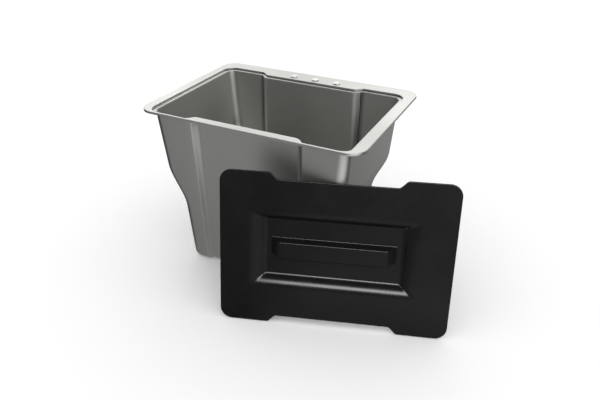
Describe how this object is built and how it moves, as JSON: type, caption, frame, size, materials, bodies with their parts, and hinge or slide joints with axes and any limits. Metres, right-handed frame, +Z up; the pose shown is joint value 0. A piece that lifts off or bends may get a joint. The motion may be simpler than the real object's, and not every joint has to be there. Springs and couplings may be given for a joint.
{
  "type": "trash compactor bin",
  "caption": "Drawn steel bin with a stepped rim, waisted sides and shouldered ends, with a loose moulded lid that has a sunken grip.",
  "frame": {"origin": "on the floor, at the middle of the bin's flat base, under the centre of its mouth", "axes": "+X along the bin's long sides, +Y to the back where the rim is wide, +Z up"},
  "size_m": [0.5954, 0.4144, 0.3182],
  "materials": {
    "stainless_sheet": "satin",
    "button_steel": "polished",
    "lid_plastic": "satin black",
    "grip_plastic": "satin black",
    "screw_steel": "zinc plated"
  },
  "bodies": {
    "bin": {"tub": "stainless_sheet", "bag_button_left": "button_steel", "bag_button_middle": "button_steel", "bag_button_right": "button_steel"},
    "lid": {"lid_panel": "lid_plastic", "grip_bar": "grip_plastic", "grip_screws": "screw_steel"}
  },
  "joints": [
    {"name": "lid_lift", "type": "slide", "parent": "bin", "child": "lid", "axis": [0.3002, -0.924, 0.2368], "range_m": [0, 0.3]}
  ]
}
